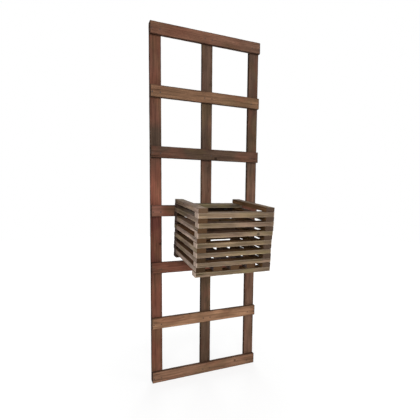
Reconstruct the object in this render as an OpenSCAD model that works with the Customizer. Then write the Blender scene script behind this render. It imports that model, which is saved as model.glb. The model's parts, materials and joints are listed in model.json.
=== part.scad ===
// Wooden garden trellis panel with a slatted planter basket hung on one of its rails.
// +X runs along the rails to the right, +Y goes back to the wall side and +Z is up.
// The origin is the centre of the middle stile's foot.

/* [Panel] */
// Overall width of the panel, which is the length of each rail
panel_w = 610; // [540:5:800]
// Overall height of the panel, which is the length of each stile
panel_h = 1830; // [1700:10:2200]
// Width of every stile and rail
board_w = 58; // [44:1:70]
// Thickness of every stile and rail
board_t = 18; // [14:1:24]
// Radius of the eased long edges of the stiles and rails
board_ease = 2; // [0.5:0.5:4]
// Number of rails, top and bottom ones included
rail_count = 7; // [5:1:7]
// Number of rails above the one that carries the basket
rails_above_count = 3; // [1:1:3]

/* [Panel nails] */
// Diameter of a panel nail's shank
rail_nail_d = 3; // [2:0.5:4]
// Diameter of a panel nail's flat head
rail_nail_head_d = 7; // [5:0.5:9]
// Thickness of a panel nail's flat head
rail_nail_head_t = 1.2; // [0.8:0.2:2]
// How far a panel nail bites into the stile behind the rail
rail_nail_bite = 13; // [8:1:13]
// How far the two nails of a crossing stand in from the stile's edges
rail_nail_inset = 9; // [6:1:14]
// How far the two nails sit below the middle of the rail
rail_nail_drop = 6; // [0:1:14]

/* [Basket] */
// Width of the basket, which is the length of its front and back slats
basket_w = 370; // [320:5:440]
// Depth of the basket, which is the length of its side slats
basket_d = 350; // [250:5:420]
// Width of a basket slat, laid flat
slat_w = 43; // [38:1:58]
// Thickness of a basket slat, which is the height of one layer
slat_t = 21.5; // [16:0.5:26]
// Number of slats stacked in each wall
slat_pairs = 7; // [5:1:8]
// Radius of the eased long edges of a slat
slat_ease = 2.5; // [0.5:0.5:5]
// Radius of the eased end corners of a slat
slat_end_ease = 4; // [1:0.5:8]
// How far the ends of neighbouring slats vary
slat_wander = 2; // [0:0.5:4]
// Extra length on the left end of the lowest front slat
lip_overhang = 5; // [0:1:20]
// Number of floor slats
floor_count = 3; // [2:1:4]

/* [Basket nails] */
// Diameter of a basket nail's shank
slat_nail_d = 2.8; // [2:0.2:4]
// Diameter of a basket nail's flat head
slat_nail_head_d = 6.4; // [5:0.2:8]
// Thickness of a basket nail's flat head
slat_nail_head_t = 1.2; // [0.8:0.2:2]
// How far a basket nail bites into the slat below
slat_nail_bite = 12; // [6:1:14]
// How far a corner's nails stand off its centre, each way
slat_nail_offset = 9; // [7:0.5:12]

/* [Hanging] */
// Length of the basket's back above the lower edge of the carrying rail
back_above = 91; // [82:1:110]
// Width of a hanger strap
hook_w = 20; // [14:1:30]
// Thickness of a hanger strap
hook_t = 3; // [2:0.5:4]
// Inner radius of a hanger strap's bends
hook_bend = 2; // [1:0.5:4]
// How far a hanger's hook reaches down behind the rail
hook_leg = 26; // [15:1:36]
// Slack between the hook and the rail's back
hook_slack = 1.5; // [1:0.5:4]
// Length of strap below its lower screw
hook_tail = 12; // [8:1:20]
// Number of screws in a hanger strap, each in a back slat of its own
hook_screw_count = 2; // [1:1:3]
// Number of back slats above the one that takes the uppermost screw
slats_above_screw_count = 1; // [1:1:2]
// Diameter of a hanger screw's shank
screw_d = 4; // [3:0.5:5]
// Diameter of a hanger screw's countersunk head
screw_head_d = 8; // [7:0.5:10]
// How deep a hanger screw goes into its slat
screw_bite = 26; // [15:1:32]

/* [Hidden] */
$fn = 48;
// Extra depth of a cut where it leaves the wood
overrun = 1;
// Gap at rest between the basket and what it leans or hangs on
seat_gap = 0.3;
// Room kept above the next rail down before the basket's foot can lean in between the rails
foot_room = 3;
// Turn that makes one slat's wander differ from the next one's
wander_turn = 137;

rail_pitch = (panel_h - board_w) / (rail_count - 1);
stile_front_y = -board_t / 2;
rail_mid_y = -board_t;
rail_front_y = rail_mid_y - board_t / 2;
stile_x = (panel_w - board_w) / 2;
rail_nail_l = board_t + rail_nail_bite;
rail_nail_x = board_w / 2 - rail_nail_inset;

basket_h = 2 * slat_pairs * slat_t;
slat_nail_l = slat_t + slat_nail_bite;
corner_x = (basket_w - slat_w) / 2;
back_row_y = -slat_w / 2;
front_row_y = slat_w / 2 - basket_d;
floor_pitch = (basket_w - slat_w) / (floor_count + 1);

// The basket hangs by its straps and leans back until its foot meets the stiles,
// or the next rail where it reaches that far down.
carrier_low_z = rail_z(rails_above_count + 1) - board_w / 2;
back_reach = basket_h - back_above;
foot_y = back_reach < rail_pitch - board_w - foot_room ? stile_front_y : rail_front_y;
tilt = asin((foot_y - rail_front_y + hook_t) / back_reach);
basket_y = foot_y - seat_gap;
basket_z = carrier_low_z - back_reach * cos(tilt);

// The hanger's slot, measured square to the basket's back
slot_w = seat_gap + board_w * sin(tilt) + board_t * cos(tilt) + hook_slack;
hook_z = back_reach + board_w * cos(tilt) + seat_gap;
hook_x = (board_w / 2 + basket_w / 2) / 2;

PANEL_WOOD = "#6d4a3d";
RAIL_WOOD = "#7a5a46";
SLAT_WOOD = "#8f7b63";
FLOOR_WOOD = "#75634f";
IRON = "#3d3936";
ZINC = "#8a8d8f";

STILES = ["stile_left", "stile_middle", "stile_right"];
HOOKS = ["hook_left", "hook_right"];

// Height of a rail's middle, with rail 1 at the top
function rail_z(i) = panel_h - board_w / 2 - (i - 1) * rail_pitch;

// Place of a stile, from -1 at the left to 1 at the right
function stile_at(side) = side * stile_x;

// Layer of the k-th front or back slat, counted from the floor, with slat 1 at the top
function across_layer(k) = 2 * (slat_pairs - k);

// Layer of the k-th side slat
function side_layer(k) = across_layer(k) + 1;

// How far the end of a slat in a layer is out of line, from -slat_wander to slat_wander
function wander(layer) = slat_wander * sin(layer * wander_turn);

// Place of a floor slat across the basket
function floor_at(n) = n * floor_pitch - corner_x;

// Offset of a corner's nails, which changes sides from layer to layer
function nail_stagger(layer) = layer % 2 == 0 ? slat_nail_offset : -slat_nail_offset;

// Rectangle with rounded corners, about its centre
module eased_rect(w, h, r) {
  square([w - 2 * r, h], center = true);
  square([w, h - 2 * r], center = true);
  for (x = [-1, 1], y = [-1, 1])
    translate([x * (w / 2 - r), y * (h / 2 - r)])
      circle(r);
}

// Flat-headed nail pointing along +Z, with the top of its head at Z = 0 plus what a cut needs
module nail(d, head_d, head_t, length, extra = 0) {
  translate([0, 0, -extra])
    cylinder(h = head_t + extra, d = head_d);
  cylinder(h = length, d = d);
}

// Nails of the crossing of a rail and a stile, driven in from the front
module crossing_nails(i, side, extra = 0) {
  for (pair = [-1, 1])
    translate([stile_at(side) + pair * rail_nail_x, rail_front_y, rail_z(i) - rail_nail_drop])
      rotate([-90, 0, 0])
        nail(rail_nail_d, rail_nail_head_d, rail_nail_head_t, rail_nail_l, extra);
}

// Upright board of the panel
module stile(side) {
  color(PANEL_WOOD)
    difference() {
      translate([stile_at(side), 0, 0])
        linear_extrude(panel_h)
          eased_rect(board_w, board_t, board_ease);
      for (i = [1:rail_count])
        crossing_nails(i, side);
    }
}

// Cross board of the panel, laid on the front of the stiles
module rail(i) {
  color(RAIL_WOOD)
    difference() {
      translate([0, rail_mid_y, rail_z(i)])
        rotate([90, 0, 90])
          linear_extrude(panel_w, center = true)
            eased_rect(board_t, board_w, board_ease);
      for (side = [-1, 0, 1])
        crossing_nails(i, side, overrun);
    }
}

// All the nails of the panel
module rail_nails() {
  color(IRON)
    for (i = [1:rail_count], side = [-1, 0, 1])
      crossing_nails(i, side);
}

// Puts a piece drawn square to the basket where the basket hangs.
// In the basket's own frame Y = 0 is its back, -Y goes to its front and Z = 0 is its underside.
module hung() {
  translate([0, basket_y, basket_z])
    rotate([tilt, 0, 0])
      children();
}

// Slat that runs along X between two ends, centred on Y = 0 and standing on Z = 0
module bar(from, to) {
  length = to - from;
  intersection() {
    translate([from, 0, slat_t / 2])
      rotate([90, 0, 90])
        linear_extrude(length)
          eased_rect(slat_w, slat_t, slat_ease);
    translate([(from + to) / 2, 0, 0])
      linear_extrude(slat_t)
        eased_rect(length, slat_w, slat_end_ease);
  }
}

// Nails that hold one layer of the basket's walls to the layer below it
module layer_nails(layer, extra = 0) {
  stagger = nail_stagger(layer);
  for (x = [-corner_x, corner_x], y = [back_row_y, front_row_y])
    translate([x + stagger, y + stagger, (layer + 1) * slat_t])
      rotate([180, 0, 0])
        nail(slat_nail_d, slat_nail_head_d, slat_nail_head_t, slat_nail_l, extra);
}

// Nails that hold the floor slats to the lowest front and back slats
module floor_nails(extra = 0) {
  for (n = [1:floor_count], y = [back_row_y, front_row_y])
    translate([floor_at(n), y, (side_layer(slat_pairs) + 1) * slat_t])
      rotate([180, 0, 0])
        nail(slat_nail_d, slat_nail_head_d, slat_nail_head_t, slat_nail_l, extra);
}

// Holes in the slats of one layer: for its own nails, and for those of the layer above
module layer_holes(layer) {
  if (layer > 0)
    layer_nails(layer, overrun);
  if (layer < 2 * slat_pairs - 1)
    layer_nails(layer + 1);
  if (layer == 0)
    floor_nails();
}

// Slat that runs across the basket, in the back or the front row
module across_slat(k, is_front, extra_left = 0) {
  layer = across_layer(k);
  shift = wander(is_front ? layer + 1 : layer);
  difference() {
    translate([0, is_front ? front_row_y : back_row_y, layer * slat_t])
      bar(shift - basket_w / 2 - extra_left, shift + basket_w / 2);
    layer_holes(layer);
  }
}

// Front slat, the lowest of which sticks out at the left
module front_slat(k) {
  color(SLAT_WOOD)
    hung()
      across_slat(k, true, k == slat_pairs ? lip_overhang : 0);
}

// Back slat, some of which take the hangers' screws
module back_slat(k) {
  color(SLAT_WOOD)
    hung()
      difference() {
        across_slat(k, false);
        for (side = [-1, 1])
          hanger_screws(side);
      }
}

// Side slat, flush at the back and a little out of line at the front
module side_slat(k, side) {
  layer = side_layer(k);
  color(SLAT_WOOD)
    hung()
      difference() {
        translate([side * corner_x, 0, layer * slat_t])
          rotate([0, 0, 90])
            bar(wander(layer + side) - basket_d, 0);
        layer_holes(layer);
      }
}

module left_slat(k) {
  side_slat(k, -1);
}

module right_slat(k) {
  side_slat(k, 1);
}

// Floor slat, which lies between the lowest side slats and runs from front to back
module floor_slat(n) {
  color(FLOOR_WOOD)
    hung()
      difference() {
        translate([floor_at(n), 0, side_layer(slat_pairs) * slat_t])
          rotate([0, 0, 90])
            bar(wander(n) - basket_d, 0);
        floor_nails(overrun);
      }
}

// All the nails of the basket
module basket_nails() {
  color(IRON)
    hung() {
      for (layer = [1:2 * slat_pairs - 1])
        layer_nails(layer);
      floor_nails();
    }
}

// Height of a hanger's n-th screw from the top, which goes into the middle of its slat
function screw_z(n) = (across_layer(slats_above_screw_count + n) + 1 / 2) * slat_t;

// Countersunk screw of a hanger, pointing along +Z from the top of its head
module hook_screw(extra = 0) {
  translate([0, 0, -extra])
    cylinder(h = extra, d = screw_head_d);
  cylinder(h = hook_t, d1 = screw_head_d, d2 = screw_d);
  cylinder(h = hook_t + screw_bite, d = screw_d);
}

// Screws of one hanger, driven in from behind
module hanger_screws(side, extra = 0) {
  for (n = [1:hook_screw_count])
    translate([side * hook_x, hook_t, screw_z(n)])
      rotate([90, 0, 0])
        hook_screw(extra);
}

// Outline of a hanger seen from its side: along the basket's back, over the rail and down behind it
module hook_outline() {
  out_w = slot_w + 2 * hook_t;
  out_r = hook_bend + hook_t;
  low_z = screw_z(hook_screw_count) - hook_tail;
  top_z = hook_z + hook_t;
  difference() {
    union() {
      translate([0, low_z])
        square([hook_t, top_z - out_r - low_z]);
      translate([0, hook_z - hook_leg])
        square([out_w, top_z - out_r - hook_z + hook_leg]);
      translate([out_r, hook_z - hook_leg])
        square([out_w - 2 * out_r, top_z - hook_z + hook_leg]);
      for (y = [out_r, out_w - out_r])
        translate([y, top_z - out_r])
          circle(out_r);
    }
    translate([hook_t, hook_z - hook_leg - overrun])
      square([slot_w, hook_leg + overrun - hook_bend]);
    translate([hook_t + hook_bend, hook_z - hook_leg - overrun])
      square([slot_w - 2 * hook_bend, hook_leg + overrun]);
    for (y = [hook_t + hook_bend, hook_t + slot_w - hook_bend])
      translate([y, hook_z - hook_bend])
        circle(hook_bend);
  }
}

// Hanger strap, screwed to the basket's back
module hook(side) {
  color(ZINC)
    hung()
      difference() {
        translate([side * hook_x, 0, 0])
          rotate([90, 0, 90])
            linear_extrude(hook_w, center = true)
              hook_outline();
        hanger_screws(side, overrun);
      }
}

// All the screws of the hangers
module hook_screws() {
  color(IRON)
    hung()
      for (side = [-1, 1])
        hanger_screws(side);
}

for (s = [0:2])
  stile(s - 1);
for (i = [1:rail_count])
  rail(i);
rail_nails();
for (k = [1:slat_pairs]) {
  front_slat(k);
  back_slat(k);
  left_slat(k);
  right_slat(k);
}
for (n = [1:floor_count])
  floor_slat(n);
basket_nails();
for (h = [0:1])
  hook(2 * h - 1);
hook_screws();
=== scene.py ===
# %% [markdown]
# Weathered garden trellis with a hanging planter basket
#
# The object is a tall panel of stained boards, nailed where they cross, and a square basket of bare slats
# that hangs on one of the rails. The solid model already holds every board at its true size and place, so
# this lesson only gives each one the wear, the grain and the colour that years outdoors leave on wood.

# %% Load the solid model
import json
import math
import random

import bpy
from mathutils import Matrix, Vector


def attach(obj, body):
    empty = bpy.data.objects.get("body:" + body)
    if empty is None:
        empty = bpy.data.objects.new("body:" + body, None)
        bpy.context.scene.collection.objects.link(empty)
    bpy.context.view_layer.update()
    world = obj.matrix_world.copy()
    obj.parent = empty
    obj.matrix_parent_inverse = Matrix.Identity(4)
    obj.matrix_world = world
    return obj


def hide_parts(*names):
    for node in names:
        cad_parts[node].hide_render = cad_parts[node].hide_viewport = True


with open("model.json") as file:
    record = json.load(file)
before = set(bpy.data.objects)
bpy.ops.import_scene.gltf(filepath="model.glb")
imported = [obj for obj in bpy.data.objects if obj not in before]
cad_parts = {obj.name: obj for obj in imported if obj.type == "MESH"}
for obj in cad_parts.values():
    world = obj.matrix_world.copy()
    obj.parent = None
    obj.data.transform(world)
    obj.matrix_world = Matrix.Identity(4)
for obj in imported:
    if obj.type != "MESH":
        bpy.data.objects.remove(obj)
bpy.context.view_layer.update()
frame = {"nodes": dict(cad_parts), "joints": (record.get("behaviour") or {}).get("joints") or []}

# %% [markdown]
# The camera stands a little left of the panel, at about the height of the basket, and looks slightly
# down. The panel could be centred by tipping the camera, but that would also change how the uprights lean
# in the picture. A lens shift, as on an architect's camera, moves the frame and leaves the perspective
# alone.

# %% Camera
camera_place = Vector((-0.6340, -1.6010, 0.9925))
camera_right = math.radians(21.553)
camera_down = math.radians(5.030)
camera_roll = math.radians(0.424)
sensor_width = 36
lens_length = 26.980
shift_right = 0.0112
shift_up = 0.0324
bpy.ops.object.select_all(action="DESELECT")
bpy.ops.object.camera_add()
camera = bpy.context.object
camera.name = "camera"
camera.data.sensor_width = sensor_width
camera.data.lens = lens_length
camera.data.shift_x = shift_right
camera.data.shift_y = shift_up
aim = Matrix.Rotation(-camera_right, 4, "Z") @ Matrix.Rotation(math.pi / 2 - camera_down, 4, "X")
camera.matrix_world = Matrix.Translation(camera_place) @ aim @ Matrix.Rotation(camera_roll, 4, "Z")
bpy.context.scene.camera = camera
print("camera at", tuple(camera_place), "with a lens of", camera.data.lens, "mm")

# %% [markdown]
# The basket leans against the panel, and it lifts off along its own back, so the lift's axis gives the
# lean. A box drawn round a leaning slat with the room's axes would come out too deep and too tall. A
# board is therefore measured in a frame that is turned with it, which gives its true length, width and
# thickness.

# %% Lean of the basket
lift_axis = Vector(frame["joints"][0]["axis"])
lean = math.atan2(-lift_axis.y, lift_axis.z)
UPRIGHT = Matrix.Identity(3)
LEANING = Matrix.Rotation(lean, 3, "X")
print("the basket leans by", round(math.degrees(lean), 2), "degrees")

# %% Measuring a board
RIGHT = Vector((1, 0, 0))
BACK = Vector((0, 1, 0))
UP = Vector((0, 0, 1))


def box_of(points):
    """Lowest and highest corner of some points."""
    low = Vector([min(point[i] for point in points) for i in range(3)])
    high = Vector([max(point[i] for point in points) for i in range(3)])
    return low, high


def own_box(node, turn):
    """Lowest and highest corner of a solid, in a frame that is turned with it."""
    unturn = turn.inverted()
    return box_of([unturn @ vertex.co for vertex in frame["nodes"][node].data.vertices])


def board_axes(length, width):
    """A turn that takes X to the board's length and Y to its width."""
    return Matrix((length, width, length.cross(width))).transposed()


def board_size(box, axes):
    """Length, width and thickness of a board, from its box and its axes."""
    low, high = box
    return Vector([abs(value) for value in axes.transposed() @ (high - low)])


panel_size = board_size(own_box("stile_left", UPRIGHT), board_axes(UP, RIGHT))
slat_size = board_size(own_box("front_slat_1", LEANING), board_axes(RIGHT, BACK))
print("boards of", [round(value, 4) for value in panel_size[1:]], "m in the panel,",
      [round(value, 4) for value in slat_size[1:]], "m in the basket")

# %% [markdown]
# Every board starts as a cube that is drawn out to length. It could keep its sharp sawn corners, but old
# boards have soft ones, so all edges are beveled. The cuts along and across it come first, because they
# leave clean four-sided faces that the wear can push in later.

# %% Cutting a box into faces


def choose(piece):
    """Leaves only this piece selected and active."""
    bpy.ops.object.select_all(action="DESELECT")
    piece.select_set(True)
    bpy.context.view_layer.objects.active = piece


def cut_across(piece, axis, length, spacing):
    """Cuts a box into even slices along one axis."""
    for edge in piece.data.edges:
        start, end = (piece.data.vertices[i].co for i in edge.vertices)
        edge.select = abs(start[axis] - end[axis]) > length / 2
    bpy.ops.object.mode_set(mode="EDIT")
    bpy.ops.mesh.subdivide(number_cuts=max(1, round(length / spacing) - 1))
    bpy.ops.mesh.select_all(action="DESELECT")
    bpy.ops.object.mode_set(mode="OBJECT")


# %% Sawing a board
sharp_from = math.radians(60)
bevel_steps = 3


def saw_board(name, size, spacing, ease):
    """A board along X with eased edges: length, width and thickness along X, Y and Z."""
    bpy.ops.object.select_all(action="DESELECT")
    bpy.ops.mesh.primitive_cube_add(size=1)
    piece = bpy.context.object
    piece.name = name
    piece.data.name = name
    bpy.ops.object.mode_set(mode="EDIT")
    bpy.ops.mesh.select_mode(type="EDGE")
    bpy.ops.transform.resize(value=size)
    bpy.ops.mesh.select_all(action="DESELECT")
    bpy.ops.object.mode_set(mode="OBJECT")
    for axis in range(3):
        cut_across(piece, axis, size[axis], spacing[axis])
    bpy.ops.object.mode_set(mode="EDIT")
    bpy.ops.mesh.edges_select_sharp(sharpness=sharp_from)
    bpy.ops.mesh.bevel(offset=ease, segments=bevel_steps, affect="EDGES")
    bpy.ops.mesh.select_all(action="DESELECT")
    bpy.ops.object.mode_set(mode="OBJECT")
    return piece


# %% [markdown]
# Wear takes wood away and never adds any, so it is a displacement that only pushes inwards. Sculpting
# could do the same to one board, but there are forty-one. A cloud noise drives it, fully on the edges,
# which are knocked most, and hardly at all on the faces, which have to stay flat where boards are nailed
# together.

# %% Wearing a board down
edge_noise = bpy.data.textures.new("edge_noise", type="CLOUDS")
edge_noise.noise_scale = 0.022
edge_noise.noise_depth = 2
edge_noise.contrast = 2.0
edge_noise.intensity = 0.9
edge_noise.use_clamp = True
face_weight = 0.08
just_past = 1.01


def faces_near(point, size, reach):
    """How many pairs of faces a point lies near: one on a face, two on an edge, three at a corner."""
    return sum(abs(point[i]) > size[i] / 2 - reach for i in range(3))


def wear_board(piece, size, ease, depth, shift):
    """Pushes the edges in by up to the depth. The shift picks another stretch of noise for each board."""
    group = piece.vertex_groups.new(name="worn")
    for vertex in piece.data.vertices:
        on_edge = faces_near(vertex.co, size, ease * just_past) > 1
        group.add([vertex.index], 1.0 if on_edge else face_weight, "REPLACE")
    piece.location = shift
    choose(piece)
    wear = piece.modifiers.new("wear", "DISPLACE")
    wear.texture = edge_noise
    wear.texture_coords = "GLOBAL"
    wear.mid_level = 0
    wear.strength = -depth
    wear.vertex_group = group.name
    bpy.ops.object.modifier_apply(modifier=wear.name)
    piece.vertex_groups.clear()
    piece.location = (0, 0, 0)


# %% [markdown]
# A slat is nailed only near its ends, so its middle can bow as it dries. Two slats in the basket's back
# do, by a few millimetres, and less light comes through between them. A modifier could bend the whole
# slat. Proportional editing lifts the middle alone, and the nailed ends stay where they are.

# %% Bowing a board
lifted_share = 0.28
falloff_share = 0.1


def bow_board(piece, size, rise):
    """Lifts the middle of a board, with less and less lift towards its nailed ends."""
    choose(piece)
    for vertex in piece.data.vertices:
        vertex.select = abs(vertex.co.x) < size.x * lifted_share
    bpy.ops.object.mode_set(mode="EDIT")
    bpy.ops.mesh.select_mode(type="VERT")
    bpy.ops.transform.translate(value=(0, 0, rise), use_proportional_edit=True,
                                proportional_edit_falloff="SPHERE",
                                proportional_size=size.x * falloff_share)
    bpy.ops.mesh.select_all(action="DESELECT")
    bpy.ops.object.mode_set(mode="OBJECT")


# %% [markdown]
# Wood grain follows the board and not the room. Each board therefore remembers where every point lay in
# the timber that it was sawn from: its place in the board, a start of its own in the grain and how far the
# nearest end is. It also keeps its tone of wood, which may change along it, the tone of its cut ends, and
# how much painted shade it takes inside the basket. A material for each board could hold these too, but
# attributes let one finish serve them all.

# %% Marking the grain


def tone_along(stops, share):
    """The tone at a share of a board's length, blended between the two stops on either side of it."""
    for (start, first), (end, second) in zip(stops, stops[1:]):
        if share <= end:
            part = max(0, share - start) / (end - start)
            return [one + (other - one) * part for one, other in zip(first, second)]
    return stops[-1][1]


def mark_grain(piece, size, grain_start, stops, end_tone, inside_shade):
    """Writes a board's attributes, while it still lies along X at the origin."""
    mesh = piece.data
    points = [vertex.co for vertex in mesh.vertices]
    board = mesh.attributes.new("board", "FLOAT_VECTOR", "POINT")
    board.data.foreach_set("vector", [value for point in points for value in point])
    start = mesh.attributes.new("grain_start", "FLOAT_VECTOR", "POINT")
    start.data.foreach_set("vector", list(grain_start) * len(points))
    to_end = mesh.attributes.new("to_end", "FLOAT", "POINT")
    to_end.data.foreach_set("value", [size.x / 2 - abs(point.x) for point in points])
    shade = mesh.attributes.new("tone", "FLOAT_COLOR", "POINT")
    blends = [tone_along(stops, point.x / size.x + 0.5) for point in points]
    shade.data.foreach_set("color", [part for blend in blends for part in blend])
    end_shade = mesh.attributes.new("end_tone", "FLOAT_COLOR", "POINT")
    end_shade.data.foreach_set("color", list(end_tone) * len(points))
    shade_layer = mesh.attributes.new("inside_shade", "FLOAT", "POINT")
    shade_layer.data.foreach_set("value", [inside_shade] * len(points))


# %% [markdown]
# A finish is a chain of nodes, which could be laid out by hand in the shader editor. Here small helpers
# add one node each, so that a finish reads like a recipe.

# %% Colours and nodes


def paint(red, green, blue):
    """A paint shop's colour, from 0 to 255, turned into the linear values that a shader needs."""
    linear = []
    for value in (red, green, blue):
        share = value / 255
        linear.append(share / 12.92 if share <= 0.04045 else ((share + 0.055) / 1.055) ** 2.4)
    return (*linear, 1.0)


def new_finish(name):
    """An empty material with its shader, ready for a chain of nodes."""
    material = bpy.data.materials.new(name)
    material.use_nodes = True
    return material, material.node_tree, material.node_tree.nodes["Principled BSDF"]


def add_node(tree, kind, feeds, **settings):
    """Adds a node, sets its options and feeds its inputs with values or with other nodes' outputs."""
    node = tree.nodes.new("ShaderNode" + kind)
    for name, value in settings.items():
        setattr(node, name, value)
    for key, feed in feeds.items():
        if isinstance(feed, bpy.types.NodeSocket):
            tree.links.new(feed, node.inputs[key])
        else:
            node.inputs[key].default_value = feed
    return node


# %% Values and vectors


def attribute(tree, name, output="Vector"):
    """Reads one of the attributes that a board carries."""
    return add_node(tree, "Attribute", {}, attribute_name=name).outputs[output]


def maths(tree, operation, first, second=0.0):
    """One sum with one or two values."""
    return add_node(tree, "Math", {0: first, 1: second}, operation=operation).outputs[0]


def vector_maths(tree, operation, first, second):
    """One sum with two vectors."""
    return add_node(tree, "VectorMath", {0: first, 1: second}, operation=operation).outputs[0]


def length_of(tree, vector):
    """How long a vector is."""
    return add_node(tree, "VectorMath", {0: vector}, operation="LENGTH").outputs["Value"]


# %% Noise, fades and mixes


def noise(tree, place, density, detail):
    """Noise with its own density along each axis, in blobs per metre."""
    stretched = vector_maths(tree, "MULTIPLY", place, density)
    return add_node(tree, "TexNoise", {"Vector": stretched, "Scale": 1.0, "Detail": detail}).outputs[0]


def fade(tree, value, start, end, low=0.0, high=1.0):
    """Goes smoothly from low to high while the value goes from start to end."""
    feeds = {"Value": value, "From Min": start, "From Max": end, "To Min": low, "To Max": high}
    return add_node(tree, "MapRange", feeds, interpolation_type="SMOOTHSTEP").outputs[0]


def mix(tree, amount, first, second, mode="MIX"):
    """Goes from the first colour towards the second by an amount."""
    feeds = {0: amount, 6: first, 7: second}
    return add_node(tree, "Mix", feeds, data_type="RGBA", blend_type=mode).outputs[2]


def scale_by(tree, colour, factor):
    """Makes a colour lighter or darker by a factor."""
    return add_node(tree, "VectorMath", {0: colour, "Scale": factor}, operation="SCALE").outputs[0]


# %% [markdown]
# The wood itself. A picture of grain could be wrapped round each board, but its lines would not meet at
# the edges. This wood is solid: every point looks up its own place in the timber, and how far it is from
# the outsides of its board, so faces, edges and ends always agree.

# %% Where a point lies


def read_board(tree, size):
    """A point's place in the timber and in its board, and how far the board's end, side and face are."""
    board = attribute(tree, "board")
    place = add_node(tree, "SeparateXYZ", {0: board}).outputs
    return {
        "timber": vector_maths(tree, "ADD", board, attribute(tree, "grain_start")),
        "across": place["Y"],
        "height": place["Z"],
        "to_end": attribute(tree, "to_end", "Fac"),
        "to_side": maths(tree, "SUBTRACT", size.y / 2, maths(tree, "ABSOLUTE", place["Y"])),
        "to_face": maths(tree, "SUBTRACT", size.z / 2, maths(tree, "ABSOLUTE", place["Z"])),
    }


# %% [markdown]
# Growth rings are cylinders round the heart of the tree, so a ring's number is the distance from that
# heart, and the same numbers draw lines along a board's faces and arcs on its ends. A wave texture draws
# rings too, but even ones. Here a slow noise makes them wander, and each ring darkens slowly and then
# stops short, as late wood does. Streaks, fine fibres and weather blotches are noises that are stretched
# along the grain.

# %% Grain
ring_wander = 3
late_wood = 2.5


def grain_marks(tree, timber, ring_pitch):
    """Growth rings, streaks, fibres and blotches, each as a value from 0 to 1."""
    from_heart = length_of(tree, vector_maths(tree, "MULTIPLY", timber, (0.0, 1.0, 1.0)))
    wobble = noise(tree, timber, density=(4.0, 26.0, 26.0), detail=2.0)
    bent = maths(tree, "ADD", from_heart, maths(tree, "MULTIPLY", wobble, ring_pitch * ring_wander))
    in_ring = maths(tree, "FRACT", maths(tree, "DIVIDE", bent, ring_pitch))
    return {
        "ring": maths(tree, "POWER", in_ring, late_wood),
        "streak": noise(tree, timber, density=(2.4, 60.0, 60.0), detail=4.0),
        "fibre": noise(tree, timber, density=(14.0, 520.0, 520.0), detail=2.0),
        "blotch": noise(tree, timber, density=(9.0, 30.0, 30.0), detail=5.0),
    }


def draw_grain(tree, colour, marks, figure):
    """Lightens and darkens a colour by the marks. The figure is the contrast of streaks and blotches."""
    streak = fade(tree, marks["streak"], start=0.3, end=0.7,
                  low=1 - 0.28 * figure, high=1 + 0.26 * figure)
    colour = scale_by(tree, colour, streak)
    colour = scale_by(tree, colour, fade(tree, marks["ring"], start=0.0, end=1.0, low=1.06, high=0.76))
    colour = scale_by(tree, colour, fade(tree, marks["fibre"], start=0.3, end=0.7, low=0.86, high=1.14))
    blotch = fade(tree, marks["blotch"], start=0.36, end=0.64,
                  low=1 - 0.2 * figure, high=1 + 0.16 * figure)
    return scale_by(tree, colour, blotch)


# %% [markdown]
# Sun and rain turn a board greener here and redder there. Each of these colours comes and goes with a
# cloud of its own, but not on dark stretches, such as the painted shadow behind the basket, where a paler
# patch would look lit. Knots are the hearts of a few cells of a Voronoi texture, because branches are
# round and rare. Checks are the thin cracks that drying opens near a board's ends: they lie where a long,
# narrow noise passes its middle value.

# %% Patches, knots and checks
cloud_step = 3.7


def add_patches(tree, colour, timber, patches):
    """Mixes in the colour of each patch where its cloud is thick and the board isn't dark."""
    brightness = add_node(tree, "RGBToBW", {0: colour}).outputs[0]
    sunny = fade(tree, brightness, start=0.025, end=0.05)
    for number, (patch, amount) in enumerate(patches):
        moved = vector_maths(tree, "ADD", timber, (cloud_step * number, 0.0, 0.0))
        cloud = noise(tree, moved, density=(6.0, 11.0, 11.0), detail=3.0)
        thick = fade(tree, cloud, start=0.46, end=0.66, low=0.0, high=amount)
        colour = mix(tree, maths(tree, "MULTIPLY", sunny, thick), colour, patch)
    return colour


def knots_in(tree, timber):
    """1 in a knot, 0 elsewhere. Each cell has a random colour, and its red decides if it has a knot."""
    cells = add_node(tree, "TexVoronoi", {"Vector": timber, "Scale": 13.0}).outputs
    chance = add_node(tree, "SeparateXYZ", {0: cells["Color"]}).outputs["X"]
    chosen = fade(tree, chance, start=0.74, end=0.76)
    return maths(tree, "MULTIPLY", chosen, fade(tree, cells["Distance"], start=0.13, end=0.07))


def checks_in(tree, timber, to_end):
    """1 in a drying crack, 0 elsewhere."""
    level = noise(tree, timber, density=(3.0, 130.0, 130.0), detail=1.0)
    off_middle = maths(tree, "ABSOLUTE", maths(tree, "SUBTRACT", level, 0.5))
    slit = fade(tree, off_middle, start=0.016, end=0.006)
    return maths(tree, "MULTIPLY", slit, fade(tree, to_end, start=0.075, end=0.02))


# %% [markdown]
# A board's outsides have tones of their own. On the basket its edges are rubbed pale; on the panel they
# are darker, from stain and painted shade. Its sawn sides may be darker, from dirt and painted shade, its
# upper face may be darker than its lower one, also from dirt and painted shade, and its cut ends have a
# tone of their own, with the rings as arcs. Each of these could be a painted mask, but distances from the
# outsides give every board its bands without a mask.

# %% Edges, sides and ends
ragged_by = 0.012


def wear_and_shade_edges(tree, colour, place, blotch, edge, amount):
    """Mixes in the edge's colour along the long edges, with a ragged border: pale wear on the slats, stain
    and painted shade on the panel.
    """
    edge_gap = maths(tree, "MAXIMUM", place["to_side"], place["to_face"])
    ragged = maths(tree, "MULTIPLY", maths(tree, "SUBTRACT", blotch, 0.5), ragged_by)
    border = maths(tree, "ADD", edge_gap, ragged)
    edge_share = fade(tree, border, start=0.0045, end=0.001, low=0.0, high=amount)
    return mix(tree, edge_share, colour, edge)


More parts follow.
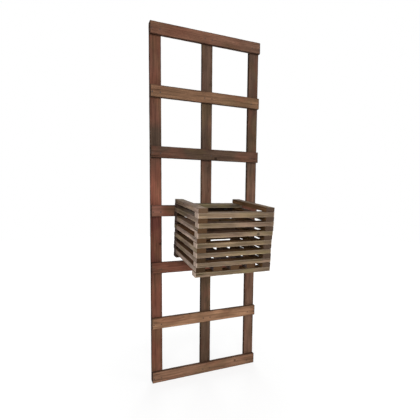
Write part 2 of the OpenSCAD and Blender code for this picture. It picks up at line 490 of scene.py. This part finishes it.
def shade_sides(tree, colour, place, size, side_stain_and_shade, top_dirt_and_shade):
    """Makes a board lighter at its lowest Z and darker at its highest, the top of a wall slat, and then
    darkens its sides; both are dirt and stain together with painted shade.
    """
    half_thick = size.z / 2
    upwards = fade(tree, place["height"], start=-half_thick, end=half_thick,
                   low=2 - top_dirt_and_shade, high=top_dirt_and_shade)
    colour = scale_by(tree, colour, upwards)
    at_side = fade(tree, place["to_side"], start=0.0018, end=0.0008)
    off_face = fade(tree, place["to_face"], start=0.001, end=0.003)
    on_side = maths(tree, "MULTIPLY", at_side, off_face)
    return scale_by(tree, colour, fade(tree, on_side, start=0.0, end=1.0, low=1.0, high=side_stain_and_shade))


def shade_ends(tree, colour, place, ring):
    """Gives the cut ends their own tone, with the rings as arcs."""
    arcs = fade(tree, ring, start=0.0, end=1.0, low=1.1, high=0.7)
    end_colour = scale_by(tree, attribute(tree, "end_tone", "Color"), arcs)
    return mix(tree, fade(tree, place["to_end"], start=0.004, end=0.0008), colour, end_colour)


# %% [markdown]
# The inside of the basket lies in shade, and this shade is painted into the wood. The flat faces are dark
# between the crossings, up to a pale strip along the outer side, and the side that faces into the basket
# is dark all along. A mask painted in each slat could say where, but the slat's own axes already do. An
# attribute of each slat says how dark, and is zero on the panel.

# %% Painted shade inside the basket
# Two tints that paint the shade inside the basket: on the flats between crossings, and on the inner side.
GAP_SHADE_TINT = paint(182, 154, 124)
INNER_SHADE_TINT = paint(214, 190, 162)


def paint_inside_shade(tree, colour, place, size):
    """Paints shade on the flats between the crossings, and then on the side that Y points to, into the
    basket.
    """
    half_width = size.y / 2
    inside_shade = attribute(tree, "inside_shade", "Fac")
    between = fade(tree, place["to_end"], start=0.04, end=0.05)
    off_strip = fade(tree, place["across"], start=-half_width * 0.97, end=-half_width * 0.8)
    inward = maths(tree, "MULTIPLY", between, off_strip)
    on_flat = maths(tree, "MULTIPLY", inward, fade(tree, place["to_face"], start=0.0025, end=0.0012))
    colour = mix(tree, maths(tree, "MULTIPLY", on_flat, inside_shade), colour, GAP_SHADE_TINT, "MULTIPLY")
    off_end = fade(tree, place["to_end"], start=0.0008, end=0.004)
    at_inner_side = fade(tree, place["across"], start=half_width - 0.004, end=half_width - 0.0015)
    on_inner = maths(tree, "MULTIPLY", off_end, at_inner_side)
    shade_on_inner = maths(tree, "MULTIPLY", on_inner, fade(tree, inside_shade, start=0.0, end=0.1))
    return mix(tree, shade_on_inner, colour, INNER_SHADE_TINT, "MULTIPLY")


# %% [markdown]
# The finish puts these steps in the order in which a board lives through them: it grows, it weathers and
# its outsides wear. Last comes the painted shade inside the basket. Old wood is dull, and its fibres stand
# up while rings and checks sink in. These are finer than any mesh here, so they are a bump.

# %% Wood finish
knot_shade = 0.42
check_shade = 0.4
fibre_rise = 0.6
ring_fall = 0.5
check_fall = 2.0
wood_shine = 0.03


def raise_fibres(tree, shader, marks, check):
    """A dull surface with raised fibres, sunken rings and open checks."""
    dull = fade(tree, marks["fibre"], start=0.2, end=0.8, low=0.9, high=0.7)
    tree.links.new(dull, shader.inputs["Roughness"])
    shader.inputs["Specular IOR Level"].default_value = wood_shine
    raised = maths(tree, "MULTIPLY", marks["fibre"], fibre_rise)
    height = maths(tree, "SUBTRACT", raised, maths(tree, "MULTIPLY", marks["ring"], ring_fall))
    height = maths(tree, "SUBTRACT", height, maths(tree, "MULTIPLY", check, check_fall))
    bump = add_node(tree, "Bump", {"Height": height, "Strength": 0.5, "Distance": 0.0008})
    tree.links.new(bump.outputs[0], shader.inputs["Normal"])


def wood_finish(name, size, ring_pitch, patches, figure, edge, edge_amount, side_stain_and_shade, top_dirt_and_shade):
    """A weathered wood for boards of one width and thickness."""
    material, tree, shader = new_finish(name)
    place = read_board(tree, size)
    marks = grain_marks(tree, place["timber"], ring_pitch)
    knot = knots_in(tree, place["timber"])
    check = checks_in(tree, place["timber"], place["to_end"])
    colour = add_patches(tree, attribute(tree, "tone", "Color"), place["timber"], patches)
    colour = draw_grain(tree, colour, marks, figure)
    colour = scale_by(tree, colour, fade(tree, knot, start=0.0, end=1.0, low=1.0, high=knot_shade))
    colour = scale_by(tree, colour, fade(tree, check, start=0.0, end=1.0, low=1.0, high=check_shade))
    colour = wear_and_shade_edges(tree, colour, place, marks["blotch"], edge, edge_amount)
    colour = shade_sides(tree, colour, place, size, side_stain_and_shade, top_dirt_and_shade)
    colour = shade_ends(tree, colour, place, marks["ring"])
    colour = paint_inside_shade(tree, colour, place, size)
    tree.links.new(colour, shader.inputs["Base Color"])
    raise_fibres(tree, shader, marks, check)
    print("finish", name, "has", len(tree.nodes), "nodes")
    return material


# %% [markdown]
# The panel's boards were stained a reddish brown, and sun and rain have since washed them unevenly. One
# colour for all would look new, so every board has a few stops of tone along it: the uprights from the
# foot up, the rails from left to right. The left upright is deep red beside the basket. Above the third
# rail all three uprights have weathered dark, and so has that rail. Behind the basket the fourth rail is
# painted dark with the basket's shadow.

# %% Tones of the panel
RUST = paint(110, 71, 57)
BRIGHT_RUST = paint(127, 79, 64)
OLD_RUST = paint(99, 66, 54)
DEEP_RED = paint(96, 57, 49)
COFFEE = paint(80, 62, 49)
BROWN = paint(89, 69, 57)
TAN = paint(109, 82, 67)
CEDAR = paint(115, 81, 65)
SUNNED = paint(118, 89, 68)
HONEY_BROWN = paint(133, 100, 79)
ROSY_BROWN = paint(131, 90, 76)
STRAW = paint(148, 112, 86)
WEATHERED = paint(74, 59, 49)
BASKET_SHADOW_BROWN = paint(50, 39, 33)
PANEL_TONES = {
    "stile_left": [(0.0, RUST), (0.22, RUST), (0.4, DEEP_RED), (0.49, DEEP_RED), (0.51, BRIGHT_RUST),
                   (0.57, BRIGHT_RUST), (0.62, OLD_RUST), (0.68, WEATHERED), (0.72, WEATHERED),
                   (0.75, OLD_RUST), (1.0, OLD_RUST)],
    "stile_middle": [(0.0, COFFEE), (0.25, BROWN), (0.57, TAN), (0.62, BROWN), (0.72, WEATHERED),
                     (0.76, BROWN), (1.0, BROWN)],
    "stile_right": [(0.0, TAN), (0.57, TAN), (0.62, BROWN), (0.73, COFFEE), (0.78, BROWN), (1.0, BROWN)],
    "rail_1": [(0.0, CEDAR), (0.5, CEDAR), (1.0, TAN)],
    "rail_2": [(0.0, SUNNED), (1.0, SUNNED)],
    "rail_3": [(0.0, WEATHERED), (1.0, BROWN)],
    # The dark middle of rail 4 is the basket's shadow, painted.
    "rail_4": [(0.0, ROSY_BROWN), (0.08, ROSY_BROWN), (0.12, RUST), (0.19, OLD_RUST), (0.22, BASKET_SHADOW_BROWN),
               (0.78, BASKET_SHADOW_BROWN), (0.81, RUST), (1.0, RUST)],
    "rail_5": [(0.0, RUST), (1.0, RUST)],
    "rail_6": [(0.0, STRAW), (1.0, STRAW)],
    "rail_7": [(0.0, HONEY_BROWN), (1.0, HONEY_BROWN)],
}
print("tones for", len(PANEL_TONES), "boards of the panel")

# %% [markdown]
# Laying a board takes its size and place from the solid that it stands for. The board is sawn, worn and
# marked while it lies along X at the origin, because this is simpler there, and is then turned into
# place. Each board gets another stretch of noise and another heart of the tree, so no two look alike. The
# draws have a seed, so every run gives the same boards.

# %% Laying a board
grain_seed = 11
noise_span = (1, 9)
heart_aside = (0.01, 0.05)
heart_above = (0.025, 0.07)
smooth_below = math.radians(40)
draw = random.Random(grain_seed)


def lay_board(node, axes, turn, stock, marks, body, bow=0.0):
    """Makes and places the board for one solid. The axes say where its X, Y and Z go, before the turn."""
    low, high = own_box(node, turn)
    size = board_size((low, high), axes)
    piece = saw_board(node + "_wood", size, stock["spacing"], stock["ease"])
    shift = Vector([draw.uniform(*noise_span) for _ in range(3)])
    wear_board(piece, size, stock["ease"], stock["wear"], shift)
    heart_side = draw.choice((-1, 1))
    heart = Vector((shift.x, heart_side * draw.uniform(*heart_aside), draw.uniform(*heart_above)))
    mark_grain(piece, size, heart, *marks)
    if bow:
        bow_board(piece, size, bow)
    piece.matrix_world = Matrix.Translation(turn @ ((low + high) / 2)) @ (turn @ axes).to_4x4()
    choose(piece)
    bpy.ops.object.transform_apply(location=True, rotation=True, scale=True)
    bpy.ops.object.shade_smooth_by_angle(angle=smooth_below)
    piece.data.materials.append(stock["finish"])
    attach(piece, body)
    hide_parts(node)


# %% [markdown]
# The panel's three uprights and seven rails are cut from the same stock. Their sawn sides and their edges
# are darker than their faces: partly stain and dirt, and partly painted shade, as on the undersides of the
# upper rails. The boards are planed and lie tight on each other, so their edges are only slightly eased
# and worn.

# %% Boards of the panel
# The dark edge colour and the darker sides of the panel's boards are stain together with painted shade.
panel_wood = wood_finish("panel_wood", panel_size, ring_pitch=0.0055,
                         patches=((paint(96, 80, 56), 0.4), (paint(114, 68, 53), 0.35)), figure=0.65,
                         edge=paint(58, 42, 35), edge_amount=0.55, side_stain_and_shade=0.4, top_dirt_and_shade=1.0)
PANEL_STOCK = {"finish": panel_wood, "spacing": (0.008, 0.0083, 0.006), "ease": 0.001, "wear": 0.0006}
STILES = ("stile_left", "stile_middle", "stile_right")
RAILS = tuple(f"rail_{number}" for number in range(1, 8))
PANEL_END = paint(60, 45, 37)
NO_SHADE = 0.0
for node in STILES:
    marks = (PANEL_TONES[node], PANEL_END, NO_SHADE)
    lay_board(node, board_axes(UP, RIGHT), UPRIGHT, PANEL_STOCK, marks, "panel")
for node in RAILS:
    marks = (PANEL_TONES[node], PANEL_END, NO_SHADE)
    lay_board(node, board_axes(RIGHT, UP), UPRIGHT, PANEL_STOCK, marks, "panel")
print("panel:", len(STILES), "stiles and", len(RAILS), "rails")

# %% [markdown]
# The basket is bare wood gone grey, with greener and redder patches and pale rubbed edges. Its walls
# differ. The front is brown and a little uneven. The left wall is paler towards the front, partly bleached
# and partly painted light from the left, it has painted shade at its back corner, and it is shaded at the
# top. The right wall is painted browner, as shade for its inner side, and the back stays dim, with painted
# shade at its left end. As on the panel, a few named tones along each slat are enough to say this.

# %% Tones of the basket


def even(*tones):
    """Stops for tones that are spread evenly along a slat."""
    return [(number / (len(tones) - 1), tone) for number, tone in enumerate(tones)]


# The next tone paints the shade of the right wall's inner side.
RIGHT_WALL_SHADE_BROWN = paint(92, 77, 61)
DUSK = paint(88, 75, 72)
# The next two tones paint the shade in the back left corner of the basket.
BACK_LEFT_SHADE = paint(50, 39, 32)
LEFT_BACK_SHADE = paint(85, 73, 67)
BLUSH = paint(138, 117, 104)
PALE_BLUSH = paint(188, 166, 151)
HONEY = paint(134, 114, 90)
SAND = paint(125, 106, 87)
UMBER = paint(115, 98, 80)
DIM = paint(101, 87, 70)
FRONT_TONES = (
    even(HONEY, HONEY, HONEY, DIM),
    even(HONEY, SAND, SAND, DIM),
    even(UMBER, UMBER, SAND, SAND),
    even(DIM, HONEY, HONEY, UMBER),
    even(UMBER, UMBER),
    even(UMBER, SAND, UMBER, UMBER),
    even(UMBER, UMBER),
)
BACK_TONES = [(0.0, DUSK), (0.86, DUSK), (0.9, BACK_LEFT_SHADE), (1.0, BACK_LEFT_SHADE)]
# The left wall grows paler towards the front: partly bleached wood, partly painted light from the left.
BLEACHED_AND_LIT = [(0.0, LEFT_BACK_SHADE), (0.1, LEFT_BACK_SHADE), (0.15, BLUSH), (1.0, PALE_BLUSH)]
SHADED = [(0.0, LEFT_BACK_SHADE), (0.1, LEFT_BACK_SHADE), (0.15, UMBER), (0.6, BLUSH), (1.0, PALE_BLUSH)]
RIGHT_TONES = even(RIGHT_WALL_SHADE_BROWN, RIGHT_WALL_SHADE_BROWN)
RIGHT_TOP = even(SAND, SAND)
FLOOR_TONES = even(DUSK, DUSK)
print("tones for", len(FRONT_TONES), "slats of the front, and for the other walls and the floor")

# %% [markdown]
# Cut ends drink more water than faces, so most of them are dark, and the lowest at the left are the colour
# of soil. The front slats' ends have dried pale. The slats on top are lit all over, so they take no
# painted shade inside, or nearly none, and on the left wall the painted shade grows from its second slat
# down.

# %% Ends and painted shade of the basket
PALE_END = paint(190, 168, 152)
GREY_BROWN_END = paint(98, 77, 60)
BROWN_END = paint(84, 62, 43)
SOIL_END = paint(64, 48, 33)
DARK_END = paint(62, 48, 41)
GREY_END = paint(80, 64, 53)
LEFT_ENDS = (GREY_BROWN_END,) + (BROWN_END,) * 4 + (SOIL_END,) * 2
FULL_SHADE = 1.0
UNSHADED_TOP = (NO_SHADE,) + (FULL_SHADE,) * 6
LEFT_SHADE = (NO_SHADE, 0.2, 0.6) + (FULL_SHADE,) * 4
RIGHT_SHADE = (0.1,) + (FULL_SHADE,) * 6
FLOOR_SHADE = 0.4
print("damp from the top down: left", LEFT_SHADE, "right", RIGHT_SHADE, "front and back", UNSHADED_TOP)

# %% [markdown]
# Slats are laid with their Y pointing into the basket, so that the finish knows on which side to paint the
# shade of the inside. They are rough sawn, so they are more eased and worn than the panel's boards. Three
# of them kept crisp edges, because soft ones would open slits of light where slats overlap in the view.
# Two of these three are the slats of the back that have bowed.

# %% Slats of the basket
# The slats are darker towards their upper faces: dirt and painted shade from the slats above.
slat_wood = wood_finish("slat_wood", slat_size, ring_pitch=0.0045,
                        patches=((paint(134, 122, 80), 0.55), (paint(132, 106, 92), 0.4)), figure=1.25,
                        edge=paint(168, 150, 130), edge_amount=0.3, side_stain_and_shade=1.0, top_dirt_and_shade=0.88)
SLAT_STOCK = {"finish": slat_wood, "spacing": (0.006, 0.0072, 0.007), "ease": 0.0015, "wear": 0.0012}
CRISP_STOCK = {**SLAT_STOCK, "ease": 0.0003, "wear": 0.0001}
CRISP_SLATS = ("front_slat_1", "back_slat_2", "back_slat_3")
BOWED_SLATS = {"back_slat_2": 0.003, "back_slat_3": 0.003}
SLAT_ROWS = {
    "front": (RIGHT, BACK, FRONT_TONES, (PALE_END,) * 7, UNSHADED_TOP),
    "back": (-RIGHT, -BACK, (BACK_TONES,) * 7, (DARK_END,) * 7, UNSHADED_TOP),
    "left": (-BACK, RIGHT, (SHADED,) * 2 + (BLEACHED_AND_LIT,) * 5, LEFT_ENDS, LEFT_SHADE),
    "right": (BACK, -RIGHT, (RIGHT_TOP,) + (RIGHT_TONES,) * 6, (GREY_END,) * 7, RIGHT_SHADE),
}
for row, (length, inward, tones, end_tones, inside_shades) in SLAT_ROWS.items():
    for number, marks in enumerate(zip(tones, end_tones, inside_shades), start=1):
        node = f"{row}_slat_{number}"
        stock = CRISP_STOCK if node in CRISP_SLATS else SLAT_STOCK
        bow = BOWED_SLATS.get(node, 0.0)
        lay_board(node, board_axes(length, inward), LEANING, stock, marks, "basket", bow)
    print(row, "wall:", number, "slats")

# %% Floor slats of the basket
floor_slats = ("floor_slat_1", "floor_slat_2", "floor_slat_3")
for node in floor_slats:
    marks = (FLOOR_TONES, BROWN_END, FLOOR_SHADE)
    lay_board(node, board_axes(BACK, RIGHT), LEANING, SLAT_STOCK, marks, "basket")
print("basket floor:", len(floor_slats), "slats")

# %% [markdown]
# Nails hold the rails to the uprights, and every layer of the basket to the one below. The solid model
# has all nails of one kind in one node and says where each one sits and how long it is. Their places
# could be typed in, but reading them from the model keeps them right: points that edges join belong to
# one nail.

# %% Finding the nails
key_digits = 5


def solids_of(node, turn):
    """Boxes of the separate solids in one CAD node, in a frame that is turned with them."""
    mesh = frame["nodes"][node].data
    unturn = turn.inverted()
    keys = [tuple(round(value, key_digits) for value in vertex.co) for vertex in mesh.vertices]
    next_key = {key: key for key in keys}

    def last_key(key):
        while next_key[key] != key:
            key = next_key[key]
        return key

    for edge in mesh.edges:
        first, second = (last_key(keys[i]) for i in edge.vertices)
        next_key[first] = second
    solids = {}
    for key in next_key:
        solids.setdefault(last_key(key), []).append(unturn @ Vector(key))
    return [box_of(points) for points in solids.values()]


# %% [markdown]
# One nail is forged from a cylinder, much as a smith does it: its lower end is drawn to a point, and its
# upper end is spread into a flat head with a slight dome. A cylinder and a disc pushed together would
# look alike from afar, but extruding keeps the nail one closed piece.

# %% Forging a nail
nail_sides = 16
point_share = 1.5
tip_share = 0.15
dome_steps = ((0.8, 0.6), (0.5, 0.4))
same_height = 1e-6
faces_up = 0.9
nail_smooth_below = math.radians(35)


def pick_cap(piece, height):
    """Selects the faces that lie flat at one height, and goes into edit mode."""
    for polygon in piece.data.polygons:
        at_height = abs(polygon.center.z - height) < same_height
        polygon.select = at_height and abs(polygon.normal.z) > faces_up
    bpy.ops.object.mode_set(mode="EDIT")


def draw_out(rise, width):
    """Extrudes the selected cap along Z and makes it wider or narrower."""
    bpy.ops.mesh.extrude_region_move(TRANSFORM_OT_translate={"value": (0, 0, rise)})
    bpy.ops.transform.resize(value=(width, width, 1))


def forge_nail(name, shank_d, head_d, head_t, length, dome):
    """A nail that points down along Z, with the rim of its head at Z = 0 and the dome above it."""
    bpy.ops.object.select_all(action="DESELECT")
    point = shank_d * point_share
    shank = length - head_t - point
    bpy.ops.mesh.primitive_cylinder_add(vertices=nail_sides, radius=shank_d / 2, depth=shank)
    nail = bpy.context.object
    nail.name = name
    bpy.ops.object.mode_set(mode="EDIT")
    bpy.ops.mesh.select_mode(type="FACE")
    bpy.ops.mesh.select_all(action="SELECT")
    bpy.ops.transform.translate(value=(0, 0, -head_t - shank / 2))
    bpy.ops.mesh.select_all(action="DESELECT")
    bpy.ops.object.mode_set(mode="OBJECT")
    pick_cap(nail, -head_t - shank)
    draw_out(-point, tip_share)
    bpy.ops.mesh.select_all(action="DESELECT")
    bpy.ops.object.mode_set(mode="OBJECT")
    pick_cap(nail, -head_t)
    draw_out(0, head_d / shank_d)
    draw_out(head_t, 1)
    for width, rise in dome_steps:
        draw_out(dome * rise, width)
    bpy.ops.mesh.select_all(action="SELECT")
    bpy.ops.mesh.normals_make_consistent(inside=False)
    bpy.ops.object.mode_set(mode="OBJECT")
    bpy.ops.object.shade_smooth_by_angle(angle=nail_smooth_below)
    return nail


# %% [markdown]
# The nails are bare iron, dull and partly rusted. Rust could be one flat brown, but it grows in patches
# and takes away the shine of the metal, so one cloud of noise sets the colour, the metal and the
# roughness.

# %% Iron finish


def iron_finish(name, bare, rust, amount, metal):
    """Dull metal with rust patches."""
    material, tree, shader = new_finish(name)
    place = add_node(tree, "TexCoord", {}).outputs["Object"]
    cloud = noise(tree, place, density=(240.0, 240.0, 240.0), detail=4.0)
    grain = noise(tree, place, density=(1500.0, 1500.0, 1500.0), detail=2.0)
    rusted = fade(tree, cloud, start=0.4, end=0.62, low=0.0, high=amount)
    colour = mix(tree, rusted, bare, rust)
    colour = scale_by(tree, colour, fade(tree, grain, start=0.3, end=0.7, low=0.8, high=1.2))
    tree.links.new(colour, shader.inputs["Base Color"])
    shine = fade(tree, rusted, start=0.0, end=1.0, low=metal, high=0.0)
    tree.links.new(shine, shader.inputs["Metallic"])
    dull = fade(tree, cloud, start=0.3, end=0.7, low=0.5, high=0.85)
    tree.links.new(dull, shader.inputs["Roughness"])
    bump = add_node(tree, "Bump", {"Height": grain, "Strength": 0.3, "Distance": 0.0003})
    tree.links.new(bump.outputs[0], shader.inputs["Normal"])
    print("finish", name, "has", len(tree.nodes), "nodes")
    return material


nail_iron = iron_finish("nail_iron", bare=paint(62, 56, 52), rust=paint(84, 50, 34), amount=0.8, metal=0.6)

# %% [markdown]
# Driving the nails: one nail is copied to every place that the model gives. Instances of one mesh would be
# lighter, but the model has all nails of a kind as one node, so the copies are joined into one piece. In
# the rails only the domes stand proud. In the basket the heads are sunk, so that the next layer can lie
# flat on them.

# %% Driving the nails


def drive_nails(node, turn, down, finish, body, shank_d, head_d, head_t, dome, sink):
    """Copies one nail to every solid of a node. Down, in the turned frame, is where the nails point."""
    boxes = solids_of(node, turn)
    along = max(range(3), key=lambda i: abs(down[i]))
    length = boxes[0][1][along] - boxes[0][0][along]
    nail = forge_nail(node + "_iron", shank_d, head_d, head_t, length, dome)
    heading = (turn @ down).to_track_quat("-Z", "Y").to_matrix().to_4x4()
    copies = [nail]
    for _ in boxes[1:]:
        choose(nail)
        bpy.ops.object.duplicate()
        copies.append(bpy.context.object)
    for copy, (low, high) in zip(copies, boxes):
        top = (low + high) / 2 - down * (length / 2 - sink)
        copy.matrix_world = Matrix.Translation(turn @ top) @ heading
        copy.select_set(True)
    bpy.context.view_layer.objects.active = nail
    bpy.ops.object.join()
    bpy.ops.object.transform_apply(location=True, rotation=True, scale=True)
    nail.data.materials.append(finish)
    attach(nail, body)
    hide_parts(node)
    print(node, "has", len(boxes), "nails of", round(length * 1000, 1), "mm")


drive_nails("rail_nails", UPRIGHT, BACK, nail_iron, "panel",
            shank_d=0.003, head_d=0.007, head_t=0.0012, dome=0.0005, sink=0.0)
drive_nails("basket_nails", LEANING, -UP, nail_iron, "basket",
            shank_d=0.0028, head_d=0.0064, head_t=0.0012, dome=0.0003, sink=0.0004)

# %% [markdown]
# The hangers hide behind the basket. They are zinc plated strap, dulled by rain, and their colour is
# painted dark for the shade that they sit in. They could be modelled again, but a bent strap is all that
# they are, so they and their screws keep the solid model's own shape and only get a finish.

# %% Hangers
# The hangers' dark zinc colour is painted shade.
hook_zinc = iron_finish("hook_zinc", bare=paint(58, 56, 54), rust=paint(52, 40, 33), amount=0.6, metal=0.7)
HANGER_FINISHES = {"hook_left": hook_zinc, "hook_right": hook_zinc, "hook_screws": nail_iron}
for node, finish in HANGER_FINISHES.items():
    frame["nodes"][node].data.materials.clear()
    frame["nodes"][node].data.materials.append(finish)
print("hangers:", ", ".join(HANGER_FINISHES))

# %% [markdown]
# A wide pale floor catches the shadow near the object. A plain floor would show a grey horizon, so this
# one glows white to the camera, fully from a step away outwards and less close by, where the shadow has
# to show. Rays that only carry light see a plain floor.

# %% Floor
floor_span = 12
floor_glow = 1.14
shadow_from = 0.3
shadow_to = 1.6
glow_nearby = 0.7
WHITE = (1, 1, 1, 1)


def seen_directly(tree):
    """1 for rays from the camera, off mirrors and through glass, 0 for rays that only carry light."""
    path = add_node(tree, "LightPath", {}).outputs
    seen = maths(tree, "MAXIMUM", path["Is Camera Ray"], path["Is Glossy Ray"])
    return maths(tree, "MAXIMUM", seen, path["Is Transmission Ray"])


bpy.ops.object.select_all(action="DESELECT")
bpy.ops.mesh.primitive_plane_add(size=floor_span)
floor = bpy.context.object
floor.name = "floor"
pale, tree, shader = new_finish("pale_floor")
shader.inputs["Base Color"].default_value = paint(240, 240, 240)
shader.inputs["Roughness"].default_value = 0.9
white = add_node(tree, "Emission", {"Color": WHITE, "Strength": floor_glow})
floor_place = add_node(tree, "TexCoord", {}).outputs["Object"]
reach = length_of(tree, vector_maths(tree, "MULTIPLY", floor_place, (1.0, 1.0, 0.0)))
outwards = fade(tree, reach, start=shadow_from, end=shadow_to, low=glow_nearby, high=1.0)
glow = add_node(tree, "MixShader", {0: maths(tree, "MULTIPLY", seen_directly(tree), outwards)})
tree.links.new(shader.outputs[0], glow.inputs[1])
tree.links.new(white.outputs[0], glow.inputs[2])
tree.links.new(glow.outputs[0], tree.nodes["Material Output"].inputs["Surface"])
floor.data.materials.append(pale)
print("floor of", floor_span, "m")

# %% [markdown]
# The background is white to the camera, but so much white light from all round would wash out every
# shadow. The sky is therefore dim to rays that only carry light, and soft lamps do the lighting: a key
# lamp from the front left, a weaker fill from the right, and one from behind, so that the back isn't
# black.

# %% Light
sky_light = 0.26
world = bpy.data.worlds.new("studio")
bpy.context.scene.world = world
world.use_nodes = True
tree = world.node_tree
sky = tree.nodes["Background"]
sky.inputs["Color"].default_value = WHITE
brightness = fade(tree, seen_directly(tree), start=0.0, end=1.0, low=sky_light, high=1.0)
tree.links.new(brightness, sky.inputs["Strength"])


def soft_lamp(name, place, target, size, power):
    """A square lamp that faces its target."""
    bpy.ops.object.select_all(action="DESELECT")
    bpy.ops.object.light_add(type="AREA", location=place)
    lamp = bpy.context.object
    lamp.name = name
    lamp.data.size = size
    lamp.data.energy = power
    lamp.rotation_mode = "QUATERNION"
    lamp.rotation_quaternion = (Vector(target) - Vector(place)).to_track_quat("-Z", "Y")
    print(name, "of", power, "W")


panel_middle = (0, 0, 0.95)
soft_lamp("key_lamp", (-1.6, -3.6, 2.0), panel_middle, size=2.4, power=110)
soft_lamp("fill_lamp", (2.8, -2.6, 1.6), panel_middle, size=2.0, power=36)
soft_lamp("back_lamp", (1.4, 3.8, 2.2), panel_middle, size=2.4, power=90)

# %% [markdown]
# Last, the colours are shown as they are, with no film look. Wear only takes wood away, so the dressed
# object has to lie inside the solid model's box.

# %% Colours as they are
bpy.context.scene.view_settings.view_transform = "Standard"
